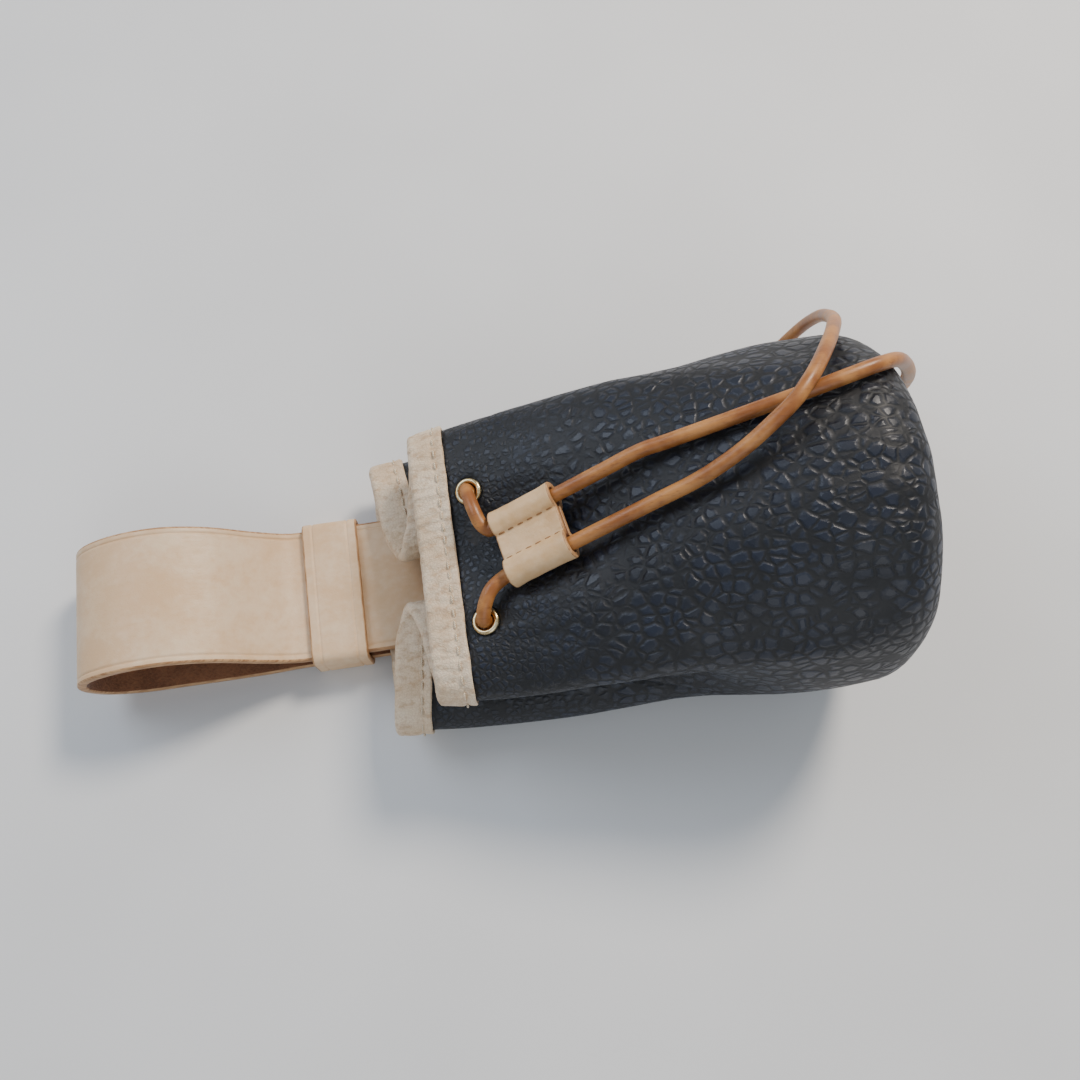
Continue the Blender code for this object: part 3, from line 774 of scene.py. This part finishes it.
# ---------------------------------------------------------------- body
HALF_COLUMNS = 116
ROWS_ALONG = 96
TURN_ROWS = 12
BASE_ROWS = 15
EYELET_CLEAR = 0.0030  # radius of the hole in the hide
EYELET_CUT = EYELET_CLEAR * 0.93  # what lies nearer than this is cut away, and the rest drawn to the hole
SEAM_DEPTH = 0.7  # the side seams and the base seam draw the hide in by this many mm
BASE_SEAM_DEPTH = 0.55
BASE_SEAM_TURN = math.radians(63)

# Soft folds of the hide: (from, to, half width in share of the half section, height in mm). Each end is
# (place round from the front's middle, + on the +Y side, place along from the rim).
FOLDS = (
    ((-0.115, 0.08), (-0.10, 0.46), 0.050, 1.1),
    ((0.02, 0.05), (0.03, 0.42), 0.045, -1.0),
    ((0.13, 0.06), (0.12, 0.34), 0.040, 0.7),
    ((-0.045, 0.07), (-0.03, 0.30), 0.022, 0.5),
    ((-0.20, 0.10), (-0.17, 0.55), 0.035, -0.5),
    ((0.07, 0.12), (0.10, 0.50), 0.030, -0.4),
    ((-0.02, 0.40), (-0.09, 0.98), 0.070, 0.8),
    ((-0.215, 0.55), (-0.235, 1.02), 0.045, -1.5),
    ((-0.30, 0.35), (-0.335, 1.02), 0.045, 1.0),
    ((0.05, 0.88), (0.035, 1.10), 0.018, -0.5),
    ((-0.03, 0.86), (-0.045, 1.12), 0.018, -0.5),
    ((-0.10, 0.90), (-0.115, 1.10), 0.018, -0.45),
    ((0.12, 0.90), (0.115, 1.10), 0.018, -0.4),
    ((0.26, 0.50), (0.24, 1.00), 0.045, -0.8),
)


def fold_height(around, along):
    total = 0.0
    for (a0, l0), (a1, l1), width, height in FOLDS:
        t = min(max((along - l0) / (l1 - l0), 0.0), 1.0)
        beyond = max(l0 - along, along - l1, 0.0) / 0.10
        across = (around - mix(a0, a1, t)) / width
        ends = smooth(min(t, 1.0 - t) * 4 + 0.25)
        total += height * math.exp(-across * across - beyond * beyond) * ends
    return total


def relief(key, side, along, turn, place, eyelet_places):
    """How far the soft hide stands off its plain shape, in metres."""
    around = side * arc_share(key)
    reach = along + turn * BASE_ROUND / 0.12
    off_rim = smooth((reach - RIM_STRIP) / 0.10)
    upper = smooth((0.62 - abs(around)) / 0.15)
    soft = noise.noise(place * 38.0) * 0.7 + noise.noise(place * 85.0 + Vector((3, 1, 7))) * 0.25
    gather = noise.noise(Vector((around * 26.0, reach * 2.6, side * 2.0)))
    height = (fold_height(around, reach) + soft * 0.8) * upper + soft * 0.2
    height -= 0.8 * ridged(gather) * math.exp(-(((reach - 0.12) / 0.13) ** 2)) * upper
    seam = SEAM_DEPTH * math.exp(-(((key - SEAM) / 0.10) ** 2))
    base_seam = BASE_SEAM_DEPTH * math.exp(-(((turn - BASE_SEAM_TURN) / 0.07) ** 2))
    height -= seam + base_seam
    near = min((place - e).length for e in eyelet_places)
    height *= smooth((near - 0.0035) / 0.006)
    if place.z < 0.004:
        height = min(height, 0.0) * smooth(place.z / 0.004)
    return height * MM * off_rim


def body_shell(outside, inside):
    frames = eyelet_frames()
    eyelet_places = [place for place, _, _ in frames]
    keys = [key_at(n / HALF_COLUMNS) for n in range(HALF_COLUMNS + 1)]
    columns = [(k, 1) for k in keys] + [(k, -1) for k in reversed(keys[1:-1])]
    stations = [(n / ROWS_ALONG, 0.0) for n in range(ROWS_ALONG + 1)]
    stations += [(1.0, math.pi / 2 * n / TURN_ROWS) for n in range(1, TURN_ROWS + 1)]
    points, reliefs = [], []
    for along, turn in stations:
        for key, side in columns:
            place = wall_point(key, side, along, turn)
            points.append(place)
            reliefs.append(relief(key, side, along, turn, place, eyelet_places))
    for n in range(1, BASE_ROWS):
        share = 1.0 - n / BASE_ROWS
        for key, side in columns:
            edge = wall_point(key, side, 1.0, math.pi / 2)
            bulge = BASE_BULGE * (1.0 - share * share)
            place = Vector((edge.x + bulge, edge.y * share, mix(ROUND_CENTRE_Z, edge.z, share)))
            points.append(place)
            reliefs.append(noise.noise(place * 45.0) * 0.5 * MM * smooth((1 - share) * 4))
    wide = len(columns)
    rows = len(stations) + BASE_ROWS - 1
    faces = []
    for r in range(rows - 1):
        for c in range(wide):
            d = (c + 1) % wide
            faces.append((r * wide + c, r * wide + d, (r + 1) * wide + d, (r + 1) * wide + c))
    points.append(Vector((BASE_X - WALL / 2 + BASE_BULGE, 0.0, ROUND_CENTRE_Z)))
    reliefs.append(0.0)
    last = (rows - 1) * wide
    for c in range(wide):
        faces.append((last + c, last + (c + 1) % wide, len(points) - 1))
    obj = mesh_piece("body_shell", points, faces, [outside, inside])
    sheet = bmesh.new()
    sheet.from_mesh(obj.data)
    bmesh.ops.recalc_face_normals(sheet, faces=sheet.faces)
    sheet.normal_update()
    sheet.verts.ensure_lookup_table()
    top = max(sheet.faces, key=lambda f: f.calc_center_median().z)
    if top.normal.z < 0:
        bmesh.ops.reverse_faces(sheet, faces=sheet.faces)
        sheet.normal_update()
    shifts = [v.normal * height for v, height in zip(sheet.verts, reliefs)]
    for v, shift in zip(sheet.verts, shifts):
        v.co += shift
    for place, normal, _ in frames:  # a clean round hole for each eyelet
        inner = [v for v in sheet.verts if (v.co - place).length < EYELET_CUT]
        rim = {n for v in inner for e in v.link_edges for n in e.verts} - set(inner)
        rim |= {n for v in inner for f in v.link_faces for n in f.verts} - set(inner)
        bmesh.ops.delete(sheet, geom=inner, context="VERTS")
        for v in rim:
            out = v.co - place
            out -= normal * out.dot(normal)
            v.co = place + out.normalized() * EYELET_CLEAR
    sheet.to_mesh(obj.data)
    sheet.free()
    solid = obj.modifiers.new("thickness", "SOLIDIFY")
    solid.thickness = WALL
    solid.offset = 0.0
    solid.material_offset = 1
    solid.material_offset_rim = 1
    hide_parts("front_panel", "back_panel", "base_panel")
    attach(obj, "pouch")


# ---------------------------------------------------------------- binding
RIM_COLUMNS = 300  # for each half
BINDING_LEAF = 0.0011
STITCH_DEPTH = 0.0061  # from the rim to the row of stitches
STITCH_PITCH = 0.0034


def rim_half():
    """Places round half the rim at even steps, and the whole rim's (key, side) list."""
    keys = [key_at(n / RIM_COLUMNS) for n in range(RIM_COLUMNS + 1)]
    return [(k, 1) for k in keys] + [(k, -1) for k in reversed(keys[1:-1])]


def crease(at, depth, leaf):
    """How far the binding's surface sinks in its creases, in metres: they run across the strip."""
    long = noise.noise(Vector((at * 420.0, depth * 75.0, leaf * 9.0)))
    fine = noise.noise(Vector((at * 900.0 + 4.0, depth * 190.0, leaf * 5.0 + 2.0)))
    wave = noise.noise(Vector((at * 130.0, depth * 40.0, leaf * 3.0 + 8.0)))
    return (0.42 * ridged(long) + 0.16 * ridged(fine) - 0.30 * wave) * MM


def mouth_binding(finish, thread):
    places = rim_half()
    inner = WALL / 2 + 0.0002
    outer = WALL / 2 + 0.0005 + BINDING_LEAF
    depths = [BINDING_DEPTH * (1 - n / 14) for n in range(15)]
    points = []
    columns = len(places)
    length = 0.0
    previous = None
    arc = []
    for key, side in places:
        here = wall_point(key, side, 0.0)
        length += (here - previous).length if previous else 0.0
        previous = here
        arc.append(length)
    fade = 0.004
    section = [(BINDING_DEPTH - 0.0002, inner, 0.0, 0)]
    section += [(BINDING_DEPTH, outer - 0.0005, 0.2, 1)]
    covered = depths[:-1]
    covered[0] -= 0.0004
    section += [(depth, outer, 1.0, 1) for depth in covered]
    for n in range(7):
        a = math.pi * n / 6
        section.append((-0.0004 - 0.0017 * math.sin(a), outer * math.cos(a), 1.0, 1 if n < 4 else -1))
    section += [(depth, -outer, 1.0, -1) for depth in reversed(covered)]
    section += [(BINDING_DEPTH, -outer + 0.0005, 0.2, -1)]
    section += [(BINDING_DEPTH - 0.0002, -inner, 0.0, 0)]
    section += [(-0.0006, -inner, 0.0, 0), (-0.0006, inner, 0.0, 0)]
    for depth, offset, sinks, leaf in section:
        for (key, side), at in zip(places, arc):
            place, normal, _ = rim_strip_frame(key, side, depth)
            sign = 1.0 if offset > 0 else -1.0
            sink = crease(at, depth, leaf) * sinks
            row = 0.32 * MM * math.exp(-(((depth - STITCH_DEPTH) / 0.0007) ** 2)) * sinks
            share = min(at, arc[-1] - at) / fade  # the pattern closes on itself at the ends of the walk
            sink *= smooth(share)
            edge = 0.0003 * noise.noise(Vector((at * 160.0, 3.0, leaf * 2.0))) * (depth > 0.008)
            inward = (wall_point(key, side, RIM_STRIP) - wall_point(key, side, 0.0)).normalized()
            roll = 0.0
            if depth < 0:
                roll = 0.00025 * noise.noise(Vector((at * 260.0, 1.0, 4.0)))
            points.append(place + inward * (edge + roll) + normal * (offset - sign * (sink + row)))
    faces = []
    count = len(section)
    for r in range(count):
        s = (r + 1) % count
        for c in range(columns):
            d = (c + 1) % columns
            faces.append((r * columns + c, r * columns + d, s * columns + d, s * columns + c))
    obj = mesh_piece("mouth_binding_fold", points, faces, [finish], flat_angle=80)
    face_outward(obj)
    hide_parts("mouth_binding")
    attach(obj, "pouch")
    rows = []
    count = round(arc[-1] / STITCH_PITCH)
    at = 0
    for n in range(count):
        wanted = arc[-1] * (n + 0.5) / count
        while arc[at + 1] < wanted:
            at += 1
        key, side = places[at]
        place, normal, around = rim_strip_frame(key, side, STITCH_DEPTH)
        for sign in (1.0, -1.0):
            height = outer - 0.00012
            rows.append((place + normal * (sign * height), around, normal * sign))
    sewn = stitches("mouth_binding_stitches", rows, 0.0026, 0.00030, thread)
    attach(sewn, "pouch")


# ---------------------------------------------------------------- strap and keeper
STRAP_LINE = (
    (0.0110, 0.0089),
    (-0.0040, 0.0083),
    (-0.0165, 0.0109),
    (-0.0275, 0.0111),
    (-0.0380, 0.0108),
    (-0.0470, 0.0108),
    (-0.0550, 0.0113),
    (-0.0640, 0.0172),
    (-0.0750, 0.0264),
    (-0.0870, 0.0312),
    (-0.1000, 0.0300),
    (-0.1108, 0.0240),
    (-0.1152, 0.0150),
    (-0.1118, 0.0060),
    (-0.1030, 0.0020),
    (-0.0920, 0.0014),
    (-0.0680, 0.0014),
    (-0.0550, 0.0032),
    (-0.0400, 0.0032),
    (-0.0150, 0.0032),
    (0.0110, 0.0032),
)


def belt_strap(grain, flesh, edge):
    line = curve_points(STRAP_LINE, 10)
    frames = []
    for i, point in enumerate(line):
        ahead = (line[min(i + 1, len(line) - 1)] - line[max(i - 1, 0)]).normalized()
        outward = Vector((ahead[1], 0.0, -ahead[0]))
        frames.append((Vector((point[0], STRAP_Y, point[1])), Vector((0, 1, 0)), outward))
    half = STRAP_THICK / 2
    dents = [(s * (STRAP_WIDTH / 2 - 0.0021), 0.00028, 0.00030) for s in (1, -1)]
    profile, top = strip_profile(STRAP_WIDTH / 2, -half, half, 0.0007, 0.00022, dents)
    pick = strip_sides(top, len(profile))

    def wavy(i):
        where = frames[i][0]
        low = noise.noise(Vector((where.x * 30.0, 2.0, where.z * 30.0))) * 0.25 * MM
        lift = [low * (w / (STRAP_WIDTH / 2)) ** 2 * (1 if w > 0 else -0.6) for w, _ in profile]
        room = smooth((-0.055 - where.x) / 0.02) * smooth((where.z - 0.006) / 0.008)
        return [(w, h + d * room) for (w, h), d in zip(profile, lift)]

    obj = sweep("belt_strap_leather", frames, wavy, [grain, flesh, edge], closed=False, pick=pick)
    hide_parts("belt_strap")
    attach(obj, "pouch")


def strap_keeper(grain, flesh, edge):
    low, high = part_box("strap_keeper")
    middle, half = (low[0] + high[0]) / 2, (high[0] - low[0]) / 2
    centre = KEEPER_THICK / 2
    width = STRAP_WIDTH / 2 + 0.0003 + centre
    corner = 0.0022
    path = []
    for cy, cz, first in (
        (width - corner, KEEPER_HEIGHT - centre - corner, 0),
        (corner - width, KEEPER_HEIGHT - centre - corner, 90),
        (corner - width, centre + corner, 180),
        (width - corner, centre + corner, 270),
    ):
        for n in range(9):
            a = math.radians(first + 90 * n / 8)
            out = Vector((0.0, math.cos(a), math.sin(a)))
            path.append((Vector((middle, STRAP_Y + cy, cz)) + out * corner, out))
    frames = []
    for i, (place, out) in enumerate(path):
        following, ahead = path[(i + 1) % len(path)]
        gap = (following - place).length
        steps = max(round(gap / 0.0012), 1)
        for n in range(steps):
            normal = out.lerp(ahead, n / steps).normalized()
            frames.append((place.lerp(following, n / steps), Vector((1, 0, 0)), normal))
    dents = [(s * (half - 0.0030), 0.00028, 0.00032) for s in (1, -1)]
    profile, top = strip_profile(half, -centre, centre, 0.0005, 0.0002, dents)
    pick = strip_sides(top, len(profile))

    def bowed(i):
        place, _, out = frames[i]
        share = 1.0 - min(abs(place.y - STRAP_Y) / width, 1.0)
        bow = 0.15 * MM * smooth(share * 2) * (1 if out.z > 0.5 else 0)
        return [(w, h + bow * math.cos(w / half * 1.2)) for w, h in profile]

    obj = sweep("strap_keeper_leather", frames, bowed, [grain, flesh, edge], closed=True, pick=pick)
    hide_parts("strap_keeper")
    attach(obj, "keeper")


# ---------------------------------------------------------------- stopper
STOPPER_LINE = (  # a quarter of the strip's middle line, (across, up) in mm from the stopper's middle
    (0.0, 0.95),
    (2.2, 1.00),
    (3.7, 1.50),
    (5.0, 2.45),
    (7.0, 3.02),
    (9.10, 2.14),
    (9.98, 0.0),
)
STOPPER_HALF_THICK = 0.00078


def cord_stopper(grain, flesh, edge, thread):
    quarter = [Vector(p) for p in STOPPER_LINE]
    ring = quarter + [Vector((x, -y)) for x, y in STOPPER_LINE[-2::-1]]
    ring += [Vector((-x, -y)) for x, y in STOPPER_LINE[1:]]
    ring += [Vector((-x, y)) for x, y in STOPPER_LINE[-2:0:-1]]
    looped = ring[-2:] + ring + ring[:2]
    steps = 8
    line = [curve_point(looped, 2 + n / steps) * MM for n in range(steps * len(ring))]
    frames = []
    for i, point in enumerate(line):
        ahead = (line[(i + 1) % len(line)] - line[i - 1]).normalized()
        out = Vector((-ahead[1], ahead[0]))
        if out.dot(point) < 0 and point.length > 0.008:
            out = -out
        elif point.length <= 0.008 and out[1] * point[1] < 0:
            out = -out
        place = STOPPER_CENTRE + ACROSS * point[0] + UP * point[1]
        frames.append((place, STRAND_DIRECTION, (ACROSS * out[0] + UP * out[1])))
    half = STOPPER_LENGTH / 2
    profile, top = strip_profile(half, -STOPPER_HALF_THICK, STOPPER_HALF_THICK, 0.0004, 0.0006)
    pick = strip_sides(top, len(profile))

    def shaped(i):
        """The two stitch rows pull the web in beside the channels, and the ends flare a little."""
        where = frames[i][0] - STOPPER_CENTRE
        a, u = where.dot(ACROSS), where.dot(UP)
        row = math.exp(-(((abs(a) - 0.0036) / 0.0007) ** 2)) * (1 if abs(u) < 0.0025 else 0)
        flare = 0.00025 * (1 - row)
        made = []
        for w, h in profile:
            open_end = smooth((abs(w) / half - 0.6) / 0.4)
            soft = 0.10 * MM * noise.noise(Vector((w * 300.0, a * 300.0, u * 300.0)))
            sink = 0.00022 * row * (1 if h > 0 else 0.3)
            made.append((w, h - sink + flare * open_end + soft))
        return made

    obj = sweep("cord_stopper_fold", frames, shaped, [grain, flesh, edge], closed=True, pick=pick)
    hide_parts("cord_stopper")
    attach(obj, "stopper")
    rows = []
    for side in (1, -1):
        for face in (1, -1):
            for n in range(6):
                w = (n - 2.5) * 0.0029
                u = 0.00148 + STOPPER_HALF_THICK - 0.00022
                place = STOPPER_CENTRE + ACROSS * (side * 0.0036) + UP * (face * u) + STRAND_DIRECTION * w
                rows.append((place, STRAND_DIRECTION, UP * face))
    sewn = stitches("cord_stopper_stitches", rows, 0.0023, 0.00030, thread)
    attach(sewn, "stopper")


# ---------------------------------------------------------------- eyelets
def eyelets(brass):
    top, under = WALL / 2 + 0.0001, -(WALL / 2 + 0.0001)
    ring = [(EYELET_BARREL_R + 0.00005, under - 0.0008), (EYELET_BARREL_R + 0.00005, top)]
    crown = (EYELET_HOLE_R + EYELET_FLANGE_R) / 2
    thick = (EYELET_FLANGE_R - EYELET_HOLE_R) / 2
    for n in range(11):
        a = math.radians(n * 18)
        ring.append((crown + thick * math.cos(a), top + 0.0001 + 0.00085 * math.sin(a)))
    ring.append((EYELET_HOLE_R - 0.0001, under - 0.0008))
    for n in range(1, 6):
        a = math.radians(180 + n * 30)
        ring.append((EYELET_HOLE_R + 0.0004 + 0.0005 * math.cos(a), under - 0.0008 + 0.0006 * math.sin(a)))
    washer = [
        (EYELET_FLANGE_R, under),
        (EYELET_FLANGE_R - 0.00015, under - 0.0005),
        (EYELET_BARREL_R + 0.0003, under - 0.0006),
        (EYELET_BARREL_R + 0.0003, under),
    ]
    for number, (place, normal, inward) in enumerate(eyelet_frames(), start=1):
        side = normal.cross(inward).normalized()
        frames = []
        for n in range(48):
            a = 2 * math.pi * n / 48
            frames.append((place, inward * math.cos(a) + side * math.sin(a), normal))
        for name, profile, node in (
            (f"eyelet_{number}_roll", ring, f"eyelet_{number}"),
            (f"eyelet_{number}_washer", washer, f"eyelet_washer_{number}"),
        ):
            obj = sweep(name, frames, profile, [brass], closed=True, flat_angle=60)
            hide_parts(node)
            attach(obj, "pouch")


def table(finish):
    size = 3.0
    corners = [(-size, -size, 0), (size, -size, 0), (size, size, 0), (-size, size, 0)]
    obj = mesh_piece("table", corners, [(0, 1, 2, 3)], [finish])


# ---------------------------------------------------------------- everything
add_camera()
drawcords(round_leather_cord())
add_light()
table(table_top())
hide = pebble_leather()
strap_grain = smooth_leather("vegetable_tanned_strap", "#E6CBAA", "#D9B48A")
fold_grain = smooth_leather("vegetable_tanned_fold", "#E2C196", "#D0A673")
# partly the flesh side's own brown, partly painted shade: it is coloured as dark as the strap's shaded
# underside
strap_flesh_shaded = flesh_leather("strap_flesh_side_painted_shade", "#6E4A36", "#96694B")
fold_edge = cut_edge()
body_shell(hide, flesh_leather("hide_flesh_side", "#0C0C10", "#1C1C22"))
mouth_binding(creased_leather(), sewing_thread("waxed_cream_thread", "#E8DCC6", "#B79C78"))
belt_strap(strap_grain, strap_flesh_shaded, fold_edge)
strap_keeper(strap_grain, strap_flesh_shaded, fold_edge)
cord_stopper(fold_grain, strap_flesh_shaded, fold_edge, sewing_thread("waxed_tan_thread", "#A87A4C", "#7A522C"))
eyelets(pale_brass())
